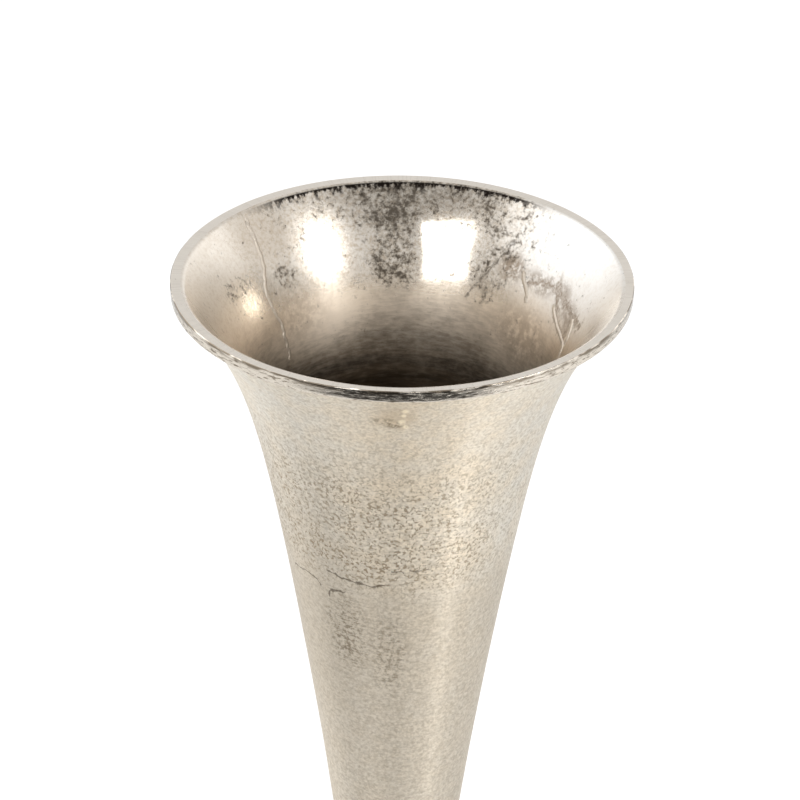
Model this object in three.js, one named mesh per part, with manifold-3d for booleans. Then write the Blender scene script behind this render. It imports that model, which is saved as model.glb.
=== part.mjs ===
// Trumpet vase: a flared cast trumpet that stands on a round cast foot. A bead ring centres the
// two castings, and one stud with a nut, reached from under the hollow foot, clamps the stack.
// Millimetres, +Z up, origin on the floor under the middle of the foot.
import * as THREE from "three";
import { mergeVertices } from "three/addons/utils/BufferGeometryUtils.js";
import Module from "manifold-3d";

const wasm = await Module();
wasm.setup();

// Trumpet casting
const MOUTH_DIAMETER = 240; // over the lip
const NECK_DIAMETER = 64; // where the trumpet stands on the ring
const TRUMPET_LENGTH = 430; // from the ring to the top of the lip
const TRUMPET_WALL = 5.5;
const TRUMPET_FLOOR = 6; // metal left between the water and the blind hole
const FLOOR_FILLET = 9;

// Shape of the taper: a long slow cone and, near the mouth, a short steep flare
const TAPER_POWER = 1.27;
const FLARE_POWER = 11.2;
const FLARE_SHARE = 0.304;

// Lip
const LIP_HEIGHT = 6.8;
const LIP_OVERHANG = 5; // from the flare's outer face to the edge of the lip
const LIP_EDGE_RADIUS = 1.3;
const LIP_COVE = 4; // height of the hollow curve under the lip

// Joint between the castings
const SPIGOT_WALL = 15; // around the stud
const SPIGOT_HEIGHT = 4.5;
const SPIGOT_CHAMFER = 0.8;
const SPIGOT_CLEARANCE = 0.3; // radial, in the ring
const RING_HEIGHT = 10;
const RING_LAND = 1; // flat of the ring that shows past the neck
const RING_BULGE = 5; // how far the bead stands out past that flat

// Foot casting
const FOOT_DIAMETER = 160;
const FOOT_HEIGHT = 57.5; // from the pads to the ring
const FOOT_WALL = 5;
const FOOT_PLATE = 10; // thickness of the clamped top
const FOOT_EDGE_HEIGHT = 6;
const FOOT_EDGE_RADIUS = 1.6;
const FOOT_STEP = 2; // flat ledge between the edge and the flare
const FOOT_FLARE_POWER = 3;
const STEM_INSET = 1; // how much slimmer the foot's stem is than the neck

// Stud, nut and washers
const STUD_DIAMETER = 10;
const STUD_CHAMFER = 1;
const STUD_ENGAGEMENT = 18; // length screwed into the trumpet, from the spigot's face
const STUD_RUNOUT = 2; // hole left beyond the stud
const STUD_PROUD = 3; // length left showing below the nut
const DRILL_POINT_SLOPE = 0.6; // rise over radius of a drill's point
const THREAD_CLEARANCE = 0.2;
const HOLE_CLEARANCE = 0.5;
const WASHER_CLEARANCE = 0.3;
const PLAIN_WASHER_BREADTH = 9.7;
const PLAIN_WASHER_THICKNESS = 2.5;
const SPRING_WASHER_BREADTH = 3.8;
const SPRING_WASHER_THICKNESS = 2.2;
const SPRING_WASHER_GAP = 2.4; // at the split
const NUT_WALL = 3.5; // from the thread to a flat
const NUT_HEIGHT = 8;
const NUT_CHAMFER_SLOPE = 0.58; // drop over reach of the chamfered corners

// Felt pads
const PAD_COUNT = 4;
const PAD_DIAMETER = 12;
const PAD_HEIGHT = 2.5;
const PAD_EDGE_RADIUS = 0.6;
const PAD_MARGIN = 1.5; // foot's land showing on each side of a pad

// Facets
const CASTING_SEGMENTS = 56;
const FASTENER_SEGMENTS = 24;
const TAPER_STATIONS = 14;
const TAPER_CROWDING = 1.8; // over 1 draws the stations together towards the mouth
const FOOT_STATIONS = 9;
const FOOT_CROWDING = 1.4; // over 1 draws the stations together towards the edge
const CURVE_STEPS = 2; // to a curve, and to half of a quarter round

// Sizes that follow from the ones above
const mouthRadius = MOUTH_DIAMETER / 2;
const neckRadius = NECK_DIAMETER / 2;
const flareRadius = mouthRadius - LIP_OVERHANG;
const flareLength = TRUMPET_LENGTH - LIP_HEIGHT;
const studRadius = STUD_DIAMETER / 2;
const spigotRadius = studRadius + SPIGOT_WALL;
const stemRadius = neckRadius - STEM_INSET;
const footRadius = FOOT_DIAMETER / 2;
const landWidth = PAD_DIAMETER + 2 * PAD_MARGIN;
const landInnerRadius = footRadius - landWidth;
const plateUnderside = FOOT_HEIGHT - FOOT_PLATE;

// Heights of the stack above the floor
const footBase = PAD_HEIGHT;
const ringBase = footBase + FOOT_HEIGHT;
const trumpetBase = ringBase + RING_HEIGHT;
const plainWasherBase = footBase + plateUnderside - PLAIN_WASHER_THICKNESS;
const springWasherBase = plainWasherBase - SPRING_WASHER_THICKNESS;
const nutBase = springWasherBase - NUT_HEIGHT;
const studBase = nutBase - STUD_PROUD;
const studTop = trumpetBase - SPIGOT_HEIGHT + STUD_ENGAGEMENT;

// Finishes
const castNickel = { color: 0xcfc4b2, roughness: 0.34, metalness: 1 };
const zincSteel = { color: 0xb9bcbf, roughness: 0.4, metalness: 1 };
const greyFelt = { color: 0x4a4845, roughness: 0.95, metalness: 0 };

const vase = new THREE.Group();

function addPiece(name, geometry, finish, height) {
  const piece = new THREE.Mesh(geometry, new THREE.MeshStandardMaterial(finish));
  piece.name = name;
  piece.position.z = height;
  vase.add(piece);
  return piece;
}

// Turns an outline of radius and height about the Z axis. The outline has the metal on its left.
function turned(outline, segments) {
  const geometry = new THREE.LatheGeometry(outline.getPoints(CURVE_STEPS), segments);
  return geometry.rotateX(Math.PI / 2);
}

// A quarter round of the outline, anticlockwise about a centre, from an angle in quarter turns
function quarterRound(outline, x, z, radius, fromQuarter) {
  const start = (fromQuarter * Math.PI) / 2;
  outline.absarc(x, z, radius, start, start + Math.PI / 2, false);
}

// Trumpet: the outer radius at a height above its joint face, and how fast it widens there
function trumpetRadius(z) {
  const rise = z / flareLength;
  const spread = (1 - FLARE_SHARE) * rise ** TAPER_POWER + FLARE_SHARE * rise ** FLARE_POWER;
  return neckRadius + (flareRadius - neckRadius) * spread;
}

function trumpetSlope(z) {
  const rise = z / flareLength;
  const cone = (1 - FLARE_SHARE) * TAPER_POWER * rise ** (TAPER_POWER - 1);
  const flare = FLARE_SHARE * FLARE_POWER * rise ** (FLARE_POWER - 1);
  return ((flareRadius - neckRadius) * (cone + flare)) / flareLength;
}

// The inner face, one wall thickness inside the outer one
function boreRadius(z) {
  return trumpetRadius(z) - TRUMPET_WALL * Math.hypot(1, trumpetSlope(z));
}

// Heights between two ends, closer together towards the top, where the flare bends most
function flareStations(low, high) {
  const heights = [];
  for (let i = 0; i <= TAPER_STATIONS; i++) {
    const toTop = 1 - i / TAPER_STATIONS;
    heights.push(high - (high - low) * toTop ** TAPER_CROWDING);
  }
  return heights;
}

function trumpetOutline() {
  const holeRadius = studRadius + THREAD_CLEARANCE;
  const holeEnd = STUD_ENGAGEMENT + STUD_RUNOUT - SPIGOT_HEIGHT;
  const holePoint = holeEnd + holeRadius * DRILL_POINT_SLOPE;
  const floorHeight = holePoint + TRUMPET_FLOOR;
  const lipEdge = Math.min(LIP_EDGE_RADIUS, LIP_HEIGHT / 2);
  const outline = new THREE.Path();

  // blind hole and spigot
  outline.moveTo(0, holePoint);
  outline.lineTo(holeRadius, holeEnd);
  outline.lineTo(holeRadius, -SPIGOT_HEIGHT);
  outline.lineTo(spigotRadius - SPIGOT_CHAMFER, -SPIGOT_HEIGHT);
  outline.lineTo(spigotRadius, SPIGOT_CHAMFER - SPIGOT_HEIGHT);
  outline.lineTo(spigotRadius, 0);

  // outer face, then the cove, the edge and the flat top of the lip
  for (const z of flareStations(0, flareLength - LIP_COVE)) outline.lineTo(trumpetRadius(z), z);
  outline.quadraticCurveTo(flareRadius, flareLength, mouthRadius - lipEdge, flareLength);
  quarterRound(outline, mouthRadius - lipEdge, flareLength + lipEdge, lipEdge, -1);
  quarterRound(outline, mouthRadius - lipEdge, TRUMPET_LENGTH - lipEdge, lipEdge, 0);
  const throatTop = TRUMPET_LENGTH - lipEdge;
  const lipInside = boreRadius(TRUMPET_LENGTH);
  outline.lineTo(lipInside + lipEdge, TRUMPET_LENGTH);
  outline.quadraticCurveTo(lipInside, TRUMPET_LENGTH, boreRadius(throatTop), throatTop);

  // inner face down to the rounded floor
  const filletTop = floorHeight + FLOOR_FILLET;
  for (const z of flareStations(filletTop, throatTop).reverse()) outline.lineTo(boreRadius(z), z);
  const floorRadius = boreRadius(filletTop);
  outline.quadraticCurveTo(floorRadius, floorHeight, floorRadius - FLOOR_FILLET, floorHeight);
  outline.lineTo(0, floorHeight);
  return outline;
}

// Bead ring: a flat-topped collar with a half-round outside, bored to fit both spigots
function ringOutline() {
  const bore = spigotRadius + SPIGOT_CLEARANCE;
  const land = neckRadius + RING_LAND;
  const halfHeight = RING_HEIGHT / 2;
  const outline = new THREE.Path();
  outline.moveTo(bore, 0);
  outline.lineTo(land, 0);
  outline.absellipse(land, halfHeight, RING_BULGE, halfHeight, -Math.PI / 2, 0, false);
  outline.absellipse(land, halfHeight, RING_BULGE, halfHeight, 0, Math.PI / 2, false);
  outline.lineTo(bore, RING_HEIGHT);
  outline.lineTo(bore, 0);
  return outline;
}

// Foot: stations of the flared outer face from the ledge up to the stem, and how fast it narrows there
function footStations() {
  const reach = footRadius - FOOT_EDGE_RADIUS - FOOT_STEP - stemRadius;
  const height = FOOT_HEIGHT - FOOT_EDGE_HEIGHT;
  const stations = [];
  for (let i = 0; i <= FOOT_STATIONS; i++) {
    const left = 1 - (i / FOOT_STATIONS) ** FOOT_CROWDING;
    const radius = stemRadius + reach * left ** FOOT_FLARE_POWER;
    const slope = (-reach * FOOT_FLARE_POWER * left ** (FOOT_FLARE_POWER - 1)) / height;
    stations.push({ radius, z: FOOT_EDGE_HEIGHT + height * (1 - left), slope });
  }
  return stations;
}

// The hollow inside the foot: the outer face moved in by one wall thickness, from the land to the plate
function hollowStations() {
  const moved = footStations().map(({ radius, z, slope }) => {
    const stretch = FOOT_WALL / Math.hypot(1, slope);
    return { radius: radius - stretch, z: z + slope * stretch };
  });
  const first = Math.max(1, moved.findIndex(({ radius }) => radius < landInnerRadius));
  const before = moved[first - 1];
  const after = moved[first];
  const { mapLinear } = THREE.MathUtils;
  const landTop = mapLinear(landInnerRadius, before.radius, after.radius, before.z, after.z);
  const hollow = moved.slice(first).filter(({ z }) => z < plateUnderside);
  return [{ radius: landInnerRadius, z: landTop }, ...hollow];
}

function footOutline() {
  const edge = Math.min(FOOT_EDGE_RADIUS, FOOT_EDGE_HEIGHT / 2);
  const holeRadius = studRadius + HOLE_CLEARANCE;
  const spigotTop = FOOT_HEIGHT + SPIGOT_HEIGHT;
  const outline = new THREE.Path();

  // flat land for the pads, the edge and the flare up to the stem
  outline.moveTo(landInnerRadius, 0);
  outline.lineTo(footRadius - edge, 0);
  quarterRound(outline, footRadius - edge, edge, edge, -1);
  quarterRound(outline, footRadius - edge, FOOT_EDGE_HEIGHT - edge, edge, 0);
  for (const { radius, z } of footStations()) outline.lineTo(radius, z);

  // bearing face, spigot and stud hole
  outline.lineTo(spigotRadius, FOOT_HEIGHT);
  outline.lineTo(spigotRadius, spigotTop - SPIGOT_CHAMFER);
  outline.lineTo(spigotRadius - SPIGOT_CHAMFER, spigotTop);
  outline.lineTo(holeRadius, spigotTop);
  outline.lineTo(holeRadius, plateUnderside);

  // hollow underside
  outline.lineTo(stemRadius - FOOT_WALL, plateUnderside);
  for (const { radius, z } of hollowStations().reverse()) outline.lineTo(radius, z);
  outline.lineTo(landInnerRadius, 0);
  return outline;
}

function studOutline() {
  const length = studTop - studBase;
  const tip = studRadius - STUD_CHAMFER;
  const outline = new THREE.Path();
  outline.moveTo(0, 0);
  outline.lineTo(tip, 0);
  outline.lineTo(studRadius, STUD_CHAMFER);
  outline.lineTo(studRadius, length - STUD_CHAMFER);
  outline.lineTo(tip, length);
  outline.lineTo(0, length);
  return outline;
}

function plainWasherOutline() {
  const bore = studRadius + WASHER_CLEARANCE;
  const outline = new THREE.Path();
  outline.moveTo(bore, 0);
  outline.lineTo(bore + PLAIN_WASHER_BREADTH, 0);
  outline.lineTo(bore + PLAIN_WASHER_BREADTH, PLAIN_WASHER_THICKNESS);
  outline.lineTo(bore, PLAIN_WASHER_THICKNESS);
  outline.lineTo(bore, 0);
  return outline;
}

// Spring washer, pressed flat: a ring of square section with a split
function springWasher() {
  const bore = studRadius + WASHER_CLEARANCE;
  const outer = bore + SPRING_WASHER_BREADTH;
  const halfGap = SPRING_WASHER_GAP / 2;
  const ring = new THREE.Shape();
  const outerSplit = Math.asin(halfGap / outer);
  const boreSplit = Math.asin(halfGap / bore);
  ring.absarc(0, 0, outer, outerSplit, 2 * Math.PI - outerSplit, false);
  ring.absarc(0, 0, bore, 2 * Math.PI - boreSplit, boreSplit, true);
  return new THREE.ExtrudeGeometry(ring, {
    depth: SPRING_WASHER_THICKNESS,
    bevelEnabled: false,
    curveSegments: FASTENER_SEGMENTS / 2,
  });
}

// A closed geometry as a solid for cutting, and a solid back as a geometry
function solidOf(geometry) {
  const bare = new THREE.BufferGeometry();
  bare.setAttribute("position", geometry.getAttribute("position"));
  bare.setIndex(geometry.index);
  const merged = mergeVertices(bare, 1e-4);
  const vertProperties = merged.getAttribute("position").array;
  const triVerts = new Uint32Array(merged.index.array);
  return new wasm.Manifold(new wasm.Mesh({ numProp: 3, vertProperties, triVerts }));
}

function geometryOf(solid) {
  const mesh = solid.getMesh();
  const geometry = new THREE.BufferGeometry();
  geometry.setAttribute("position", new THREE.BufferAttribute(mesh.vertProperties, 3));
  geometry.setIndex(new THREE.BufferAttribute(mesh.triVerts, 1));
  geometry.computeVertexNormals();
  return geometry;
}

// Hexagon nut: a six-sided bar with a bore, its corners turned off at both ends
function hexNut() {
  const acrossFlats = STUD_DIAMETER + 2 * NUT_WALL;
  const cornerRadius = acrossFlats / Math.sqrt(3);
  const flatRadius = acrossFlats / 2;
  const hexagon = new THREE.Shape();
  for (let i = 0; i < 6; i++) {
    const angle = (i * Math.PI) / 3;
    const x = cornerRadius * Math.cos(angle);
    const y = cornerRadius * Math.sin(angle);
    if (i === 0) hexagon.moveTo(x, y);
    else hexagon.lineTo(x, y);
  }
  hexagon.closePath();
  const bore = new THREE.Path();
  bore.absarc(0, 0, studRadius + THREAD_CLEARANCE, 0, 2 * Math.PI, true);
  hexagon.holes.push(bore);
  const bar = new THREE.ExtrudeGeometry(hexagon, {
    depth: NUT_HEIGHT,
    bevelEnabled: false,
    curveSegments: FASTENER_SEGMENTS,
  });
  const drop = (cornerRadius - flatRadius) * NUT_CHAMFER_SLOPE;
  const turnedOff = new THREE.Path();
  turnedOff.moveTo(0, 0);
  turnedOff.lineTo(flatRadius, 0);
  turnedOff.lineTo(cornerRadius, drop);
  turnedOff.lineTo(cornerRadius, NUT_HEIGHT - drop);
  turnedOff.lineTo(flatRadius, NUT_HEIGHT);
  turnedOff.lineTo(0, NUT_HEIGHT);
  return geometryOf(solidOf(bar).intersect(solidOf(turned(turnedOff, FASTENER_SEGMENTS))));
}

// Felt pad: a low disc with a soft lower edge
function padOutline() {
  const radius = PAD_DIAMETER / 2;
  const edge = Math.min(PAD_EDGE_RADIUS, PAD_HEIGHT / 2);
  const outline = new THREE.Path();
  outline.moveTo(0, 0);
  outline.lineTo(radius - edge, 0);
  quarterRound(outline, radius - edge, edge, edge, -1);
  outline.lineTo(radius, PAD_HEIGHT);
  outline.lineTo(0, PAD_HEIGHT);
  return outline;
}

function addPads() {
  const circle = footRadius - landWidth / 2;
  for (let i = 0; i < PAD_COUNT; i++) {
    const angle = (i * 2 * Math.PI) / PAD_COUNT;
    const pad = addPiece(`felt_pad_${i + 1}`, turned(padOutline(), FASTENER_SEGMENTS), greyFelt, 0);
    pad.position.x = circle * Math.cos(angle);
    pad.position.y = circle * Math.sin(angle);
  }
}

addPiece("trumpet_body", turned(trumpetOutline(), CASTING_SEGMENTS), castNickel, trumpetBase);
addPiece("bead_ring", turned(ringOutline(), CASTING_SEGMENTS), castNickel, ringBase);
addPiece("foot", turned(footOutline(), CASTING_SEGMENTS), castNickel, footBase);
addPiece("clamp_stud", turned(studOutline(), FASTENER_SEGMENTS), zincSteel, studBase);
addPiece("plain_washer", turned(plainWasherOutline(), FASTENER_SEGMENTS), zincSteel, plainWasherBase);
addPiece("spring_washer", springWasher(), zincSteel, springWasherBase);
addPiece("hex_nut", hexNut(), zincSteel, nutBase);
addPads();

export default vase;
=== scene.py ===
# Trumpet vase of sand-cast aluminium with a warm raw-nickel finish, set up for a studio picture.
# Metres, +Z up, origin on the floor under the middle of the foot.
from collections import namedtuple
from functools import partial, reduce
from math import atan2, cos, hypot, pi, radians, sin, sqrt
from operator import mul

import bpy
from mathutils import Matrix, Vector


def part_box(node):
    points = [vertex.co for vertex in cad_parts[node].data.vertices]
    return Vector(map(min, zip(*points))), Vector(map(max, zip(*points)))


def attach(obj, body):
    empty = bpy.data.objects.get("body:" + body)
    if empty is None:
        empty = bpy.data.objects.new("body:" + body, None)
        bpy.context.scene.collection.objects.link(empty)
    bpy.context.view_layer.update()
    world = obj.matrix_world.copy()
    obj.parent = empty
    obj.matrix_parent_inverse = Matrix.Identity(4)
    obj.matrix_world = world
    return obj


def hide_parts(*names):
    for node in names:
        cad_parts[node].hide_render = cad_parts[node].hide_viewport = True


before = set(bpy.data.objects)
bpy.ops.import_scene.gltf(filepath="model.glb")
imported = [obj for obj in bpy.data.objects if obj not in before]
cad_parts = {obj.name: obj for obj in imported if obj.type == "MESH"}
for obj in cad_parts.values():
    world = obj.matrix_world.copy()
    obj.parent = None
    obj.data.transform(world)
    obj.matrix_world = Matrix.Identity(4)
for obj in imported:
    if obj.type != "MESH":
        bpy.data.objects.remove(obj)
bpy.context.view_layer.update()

MM = 0.001

# Sizes read from the frame
trumpet_low, trumpet_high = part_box("trumpet_body")
ring_low, ring_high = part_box("bead_ring")
foot_low, foot_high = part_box("foot")
stud_low, stud_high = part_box("clamp_stud")
washer_low, washer_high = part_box("plain_washer")
nut_low, nut_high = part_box("hex_nut")
MOUTH_RADIUS = trumpet_high.x
LIP_TOP = trumpet_high.z
TRUMPET_BASE = ring_high.z
RING_BASE = ring_low.z
FOOT_BASE = foot_low.z
FOOT_RADIUS = foot_high.x
SPIGOT_HEIGHT = TRUMPET_BASE - trumpet_low.z
STUD_RADIUS = stud_high.x

# Trumpet casting
NECK_RADIUS = 32 * MM
NECK_EDGE = 0.6 * MM
TRUMPET_WALL = 5.5 * MM
TRUMPET_FLOOR_HEIGHT = 24.6 * MM
FLOOR_FILLET = 9 * MM
SPIGOT_RADIUS = 20 * MM
TAPER_POWER = 1.27
FLARE_POWER = 11.2
FLARE_SHARE = 0.304
LIP_HEIGHT = 6.8 * MM
LIP_OVERHANG = 5 * MM
LIP_TOP_ROUND = 0.6 * MM
LIP_LOW_ROUND = 1 * MM
LIP_INNER_ROUND = 1.6 * MM
LIP_INNER_GAP = 0.5 * MM
LIP_COVE = 4 * MM
CORE_SHIFT = Vector((0.45, -1.2, 0)) * MM
CORE_SHIFT_LENGTH = 60 * MM
BLIND_HOLE_DEPTH = 15.5 * MM
DRILL_POINT = 3.1 * MM
FLARE_RADIUS = MOUTH_RADIUS - LIP_OVERHANG
TRUMPET_LENGTH = LIP_TOP - TRUMPET_BASE
FLARE_LENGTH = TRUMPET_LENGTH - LIP_HEIGHT

# Ring and foot castings
RING_LAND = NECK_RADIUS + 1 * MM
RING_EDGE = 0.5 * MM
RING_BORE = SPIGOT_RADIUS + 0.3 * MM
STEM_RADIUS = NECK_RADIUS - 1 * MM
FOOT_HEIGHT = RING_BASE - FOOT_BASE
FOOT_WALL = 5 * MM
FOOT_PLATE = 10 * MM
FOOT_EDGE_HEIGHT = 6 * MM
FOOT_EDGE_RADIUS = 1.6 * MM
FOOT_STEP = 2 * MM
FOOT_FLARE_POWER = 3
FOOT_LAND = 15 * MM

# Fasteners and pads
THREAD_PITCH = 1.5 * MM
THREAD_DEPTH = 0.9 * MM
THREAD_CLEARANCE = 0.2 * MM
STATIONS_PER_TURN = 8
STUD_CHAMFER = 1 * MM
HOLE_CLEARANCE = 0.5 * MM
WASHER_BORE = STUD_RADIUS + 0.3 * MM
WASHER_EDGE = 0.4 * MM
NUT_FLATS = 17 * MM
NUT_CHAMFER = 1 * MM
NUT_FACE_SHARE = 0.97
PAD_EDGE_RADIUS = 0.6 * MM
FIBRE_LENGTH = 0.5 * MM
BARE_PAD_EDGE = 0.7 * MM
FIBRE_RADIUS = 0.03 * MM
FIBRE_LEAN = 0.9
FIBRE_TWIST = 6.28
FIBRES_PER_SQUARE_METRE = 4e6

# How far a surface strays from its true form, always inwards
BODY_STRAY = 0.5 * MM
LIP_STRAY = 0.3 * MM
LIP_DINT = 0.25 * MM
SMALL_STRAY = 0.25 * MM
PAD_STRAY = 0.12 * MM

# Facets of the turned pieces; a crowding over 1 packs a wall's stations closer at its wide end
TRUMPET_SEGMENTS = 480
FOOT_SEGMENTS = 240
FASTENER_SEGMENTS = 72
PAD_SEGMENTS = 48
WALL_STATIONS = 64
OUTSIDE_CROWDING = 1.6
THROAT_CROWDING = 1.8
FLARE_STATIONS = 48
FOOT_CROWDING = 1.4
SHARP_ANGLE = radians(35)
MERGE_DISTANCE = 1e-6

# Courses of marks on the walls: degrees about the axis (the front is at -90), millimetres below the lip
Wall = namedtuple("Wall", "reach facing")
OUTSIDE = Wall(reach=67 * MM, facing=-90)
THROAT = Wall(reach=93 * MM, facing=90)
HAIRLINES = (
    ((-152, 163), (-146, 161), (-139, 160), (-133, 160.5), (-131, 164)),
    ((-126, 169.5), (-125.5, 165.5), (-116.5, 162)),
    ((-125, 150), (-117, 151.5), (-109, 152.5), (-103, 153.5), (-95, 151.5)),
    ((-93, 141), (-88, 142.5)),
    ((-85, 141.5), (-76, 141)),
)
STAIN_COURSES = (
    ((26.6, 26.6), (20.9, 31.1), (15.1, 32.4), (7.7, 32.1), (-1, 30.5)),
    ((26.6, 26.6), (23.4, 34.1), (19, 41), (12, 43.5)),
    ((41, 36), (34, 31.7), (28, 30.5)),
    ((10, 32), (9, 38), (7, 44)),
)
SCRAPE_COURSES = (((51, 19.5), (55, 31.3), (59.8, 42.6), (64.9, 53.5)),)
LINE_WOBBLE = 1.2 * MM
SEAM_COURSES = (
    ((141, 4), (142, 14), (142.5, 24), (145, 33), (146.5, 39), (146, 48), (144, 58), (144, 66), (144, 78)),
    ((23, 38), (21.8, 40.4), (16.5, 44.3), (9.7, 45.8), (4.5, 47.5), (2, 58), (2, 72)),
    ((8, 34), (6, 36.8), (4.1, 41.2), (3.6, 45)),
    ((43.5, 32), (43, 34.4), (39.3, 41.4), (38, 46)),
)
SEAM_WIDTH = 4.4 * MM
SEAM_RISE = 0.045 * MM
SEAM_WANDER = 4.5 * MM
SEAM_END_SUNK = 0.03 * MM
SEAM_POINTS_PER_MARK = 20
SEAM_FACETS = 48

# Patches on the walls: angle in degrees, then depth, breadth and drop in millimetres, and strength
GRIME = ((-118, 192, 24, 46, 1.0), (-95, 205, 20, 52, 0.8))
LIP_SMUDGES = ((-91.8, 32, 5, 4, 1.0), (-95, 29.5, 7, 4, 0.7))
GILT_BEADS = (
    (-88.8, 20, 1.5, 2.55, 1.0),
    (-89.2, 24, 1.2, 2.04, 1.0),
    (-89.7, 29.5, 1.8, 3.06, 1.0),
    (-88.6, 33.5, 1.4, 2.38, 1.0),
)
SPECK_CLUSTERS = (
    (93, 15, 28, 18, 0.85),
    (93, 38, 26, 24, 0.78),
    (57, 34, 22, 34, 0.58),
    (136, 36, 18, 14, 0.52),
    (160, 28, 24, 9, 0.45),
)
WIPED_CLEAN = ((73, 33, 34, 28, 1.0), (113, 32, 36, 27, 1.0))
WALL_STAINS = (
    (22, 30, 14, 9, 0.6),
    (12, 36, 18, 12, 0.65),
    (35, 33, 18, 8, 0.8),
    (49, 32, 14, 12, 0.9),
    (34, 62, 40, 22, 0.5),
    (135, 56, 40, 22, 0.35),
)
MIRROR_POLISH = ((79, 28, 34, 42, 1.0), (156, 37, 26, 16, 0.3))
SATIN_WALLS = ((26, 46, 34, 26, 1.0), (174, 26, 62, 60, 1.0))

# Camera, as the photograph sees the mouth: pixels are those of the square picture
PICTURE_PIXELS = 800
SENSOR_MM = 36
LENS_MM = 95.45
CAMERA_DISTANCE = 1.1
CAMERA_DEPRESSION = 27.6
CAMERA_ROLL = 0.654
RIM_CENTRE_PIXEL = (402.24, 273.14)

# Studio: angles in degrees, azimuths clockwise from straight behind the vase
FLOOR_SIZE = 12
TABLE_FRONT = -0.55
TABLE_FADE = 0.35
FLOOR_LIFT = 0.3
ROOM_BRIGHTNESS = 0.82
Glow = namedtuple("Glow", "azimuth elevation inner outer strength")
ROOM_GLOWS = (
    Glow(-74, 26, 18, 43, 0.95),
    Glow(43, 10, 12, 34, 0.4),
    Glow(125, 22, 11, 23, 0.6),
    Glow(72, 18, 12, 34, 0.15),
    Glow(180, 68, 15, 45, -0.24),
)
LAMP_DISTANCE = 1.5
Softbox = namedtuple("Softbox", "name azimuth elevation width height brightness shape")
SOFTBOXES = (
    Softbox("key", 125, 22.5, 0.52, 0.46, 6, "ELLIPSE"),
    Softbox("low_strip", 137, -7.5, 0.26, 0.45, 7.4, "RECTANGLE"),
    Softbox("low_front", 162, -9, 0.75, 0.42, 2.0, "RECTANGLE"),
    Softbox("low_right", 104, -9, 1.0, 0.42, 1.0, "RECTANGLE"),
    Softbox("low_left", -80, -9, 1.0, 0.42, 1.0, "RECTANGLE"),
    Softbox("window", -150, 25, 0.8, 0.72, 2.6, "RECTANGLE"),
)


# Node helpers
class Value:
    """What a node gives; it can be added, multiplied and so on, as a number or as a vector."""

    def __init__(self, socket):
        self.socket = socket
        self.tree = socket.id_data

    def __add__(self, other):
        return combine("ADD", self, other)

    def __sub__(self, other):
        return combine("SUBTRACT", self, other)

    def __rsub__(self, other):
        return combine("SUBTRACT", other, self)

    def __mul__(self, other):
        return combine("MULTIPLY", self, other)

    def __truediv__(self, other):
        return combine("DIVIDE", self, other)

    __radd__ = __add__


def fill_inputs(node, inputs):
    """Sets each input that is named or numbered, by a link where the value comes from another node."""
    for key, value in inputs.items():
        if isinstance(value, Value):
            value.tree.links.new(value.socket, node.inputs[key])
        else:
            node.inputs[key].default_value = value


def add_node(tree, kind, inputs=None, **settings):
    node = tree.nodes.new(kind)
    for name, value in settings.items():
        setattr(node, name, value)
    fill_inputs(node, inputs or {})
    return node


def outcome(tree, kind, inputs=None, output=0, **settings):
    """What a new node gives at one of its outputs."""
    return Value(add_node(tree, kind, inputs, **settings).outputs[output])


def tree_of(*values):
    """The tree of the first of these values that comes from a node."""
    return next(value.tree for value in values if isinstance(value, Value))


def calculate(operation, *values, clamp=False):
    """The result of one Math node."""
    settings = {"operation": operation, "use_clamp": clamp}
    return outcome(tree_of(*values), "ShaderNodeMath", dict(enumerate(values)), **settings)


def vector_math(operation, *values, output="Vector"):
    """The vector that one Vector Math node gives."""
    inputs = dict(enumerate(values))
    return outcome(tree_of(*values), "ShaderNodeVectorMath", inputs, output, operation=operation)


def vector_number(operation, *values):
    """The number that one Vector Math node gives, such as a length or a dot product."""
    return vector_math(operation, *values, output="Value")


def is_vector(value):
    if isinstance(value, Value):
        return value.socket.type == "VECTOR"
    return isinstance(value, (tuple, Vector))


def combine(operation, first, second):
    """Two numbers or two vectors, put together by one node."""
    if is_vector(first) or is_vector(second):
        return vector_math(operation, first, second)
    return calculate(operation, first, second)


def scaled(vector, factor):
    inputs = {0: vector, "Scale": factor}
    return outcome(tree_of(vector, factor), "ShaderNodeVectorMath", inputs, operation="SCALE")


def split(vector):
    return [Value(part) for part in add_node(vector.tree, "ShaderNodeSeparateXYZ", {0: vector}).outputs]


def join(x, y, z):
    return outcome(tree_of(x, y, z), "ShaderNodeCombineXYZ", {0: x, 1: y, 2: z})


def ease(value, low, high, at_low=0.0, at_high=1.0):
    """A smooth step from at_low to at_high as value goes from low to high."""
    inputs = {"Value": value, "From Min": low, "From Max": high, "To Min": at_low, "To Max": at_high}
    return outcome(value.tree, "ShaderNodeMapRange", inputs, "Result", interpolation_type="SMOOTHSTEP")


def noise(vector, size, detail=2.0, roughness=0.5, offset=0.0, distortion=0.0):
    """Noise from about 0 to 1 whose blotches are about size across; offset picks another piece of it."""
    inputs = {
        "Vector": vector + (offset, offset * 0.7, offset * 1.3),
        "Scale": 1 / size,
        "Detail": detail,
        "Roughness": roughness,
        "Distortion": distortion,
    }
    return outcome(vector.tree, "ShaderNodeTexNoise", inputs, "Fac")


def mix_number(factor, first, second):
    inputs = {0: factor, 2: first, 3: second}
    return outcome(tree_of(factor, first, second), "ShaderNodeMix", inputs, data_type="FLOAT")


def mix_colour(factor, first, second):
    """A mix of two colours, each a node's value or a red, a green and a blue."""
    node = add_node(tree_of(factor, first, second), "ShaderNodeMix", data_type="RGBA")
    first, second = (colour if isinstance(colour, Value) else (*colour, 1) for colour in (first, second))
    fill_inputs(node, {0: factor, 6: first, 7: second})
    return Value(node.outputs[2])


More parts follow.
